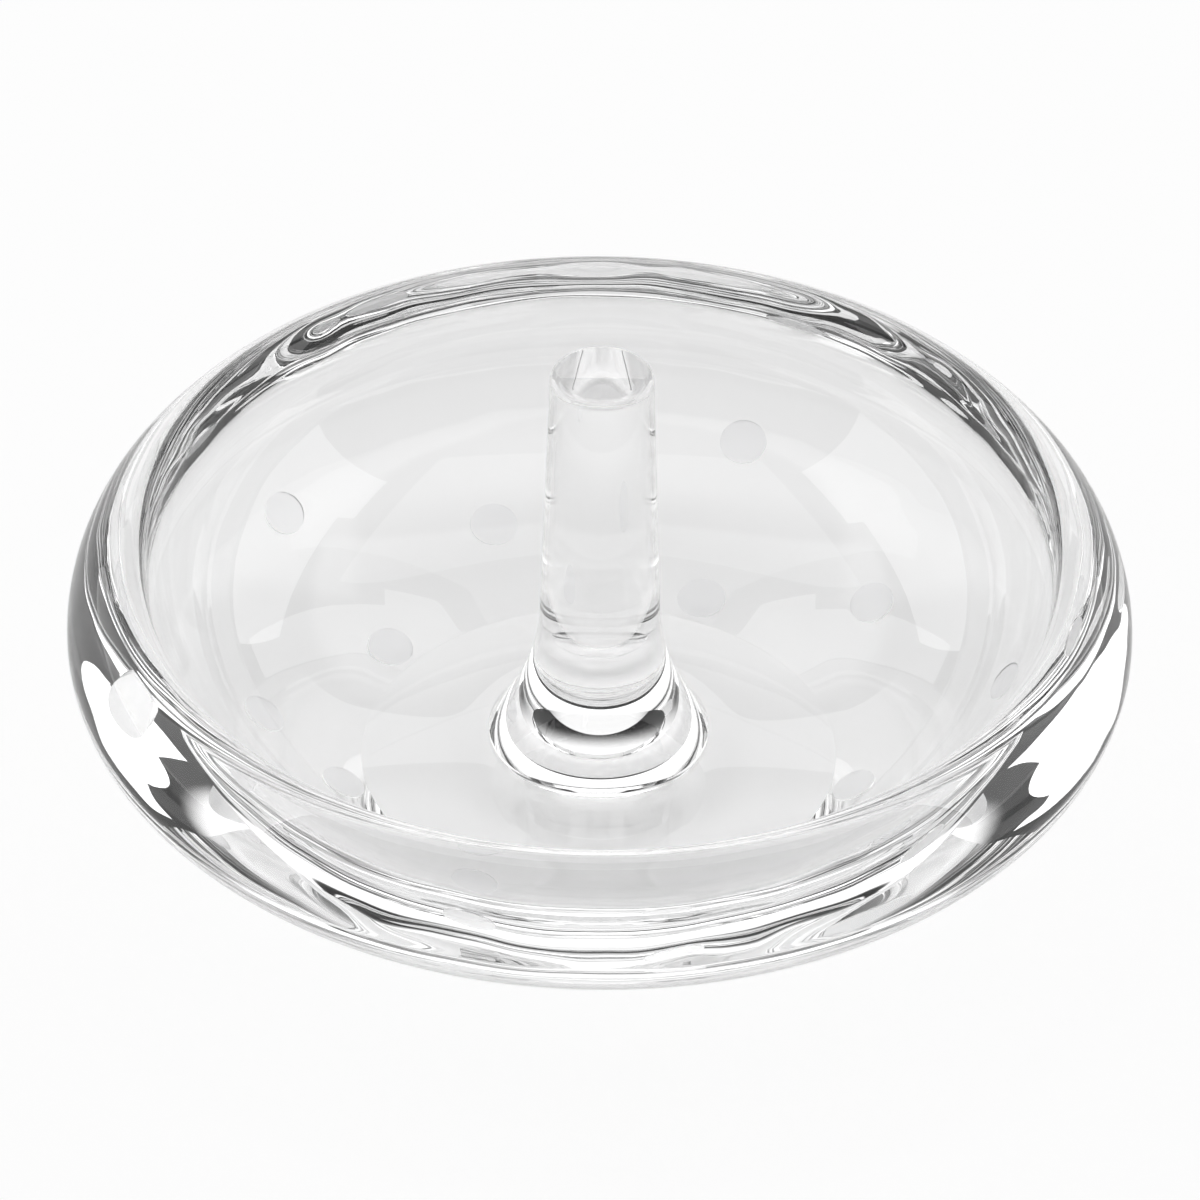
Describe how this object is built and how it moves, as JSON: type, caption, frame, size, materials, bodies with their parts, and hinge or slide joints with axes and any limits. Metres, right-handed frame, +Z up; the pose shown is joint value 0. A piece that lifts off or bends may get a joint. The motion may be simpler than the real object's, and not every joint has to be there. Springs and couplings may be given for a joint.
{
  "type": "ring dish",
  "caption": "Round clear crystal dish with a thick rounded rim and satin dots on its outside, and a tapered ring post bonded to its floor by a flared foot.",
  "frame": {"origin": "centre of the flat base, on the surface the dish stands on", "axes": "+Z up along the ring post; the picture looks from -Y, 38 degrees above level"},
  "size_m": [0.102, 0.102, 0.0506],
  "materials": {
    "crystal": "polished clear crystal, dots satin etched",
    "adhesive": "clear cured adhesive"
  },
  "bodies": {
    "root": {"dish": "crystal", "ring_post": "crystal", "bond_film": "adhesive"}
  },
  "joints": []
}
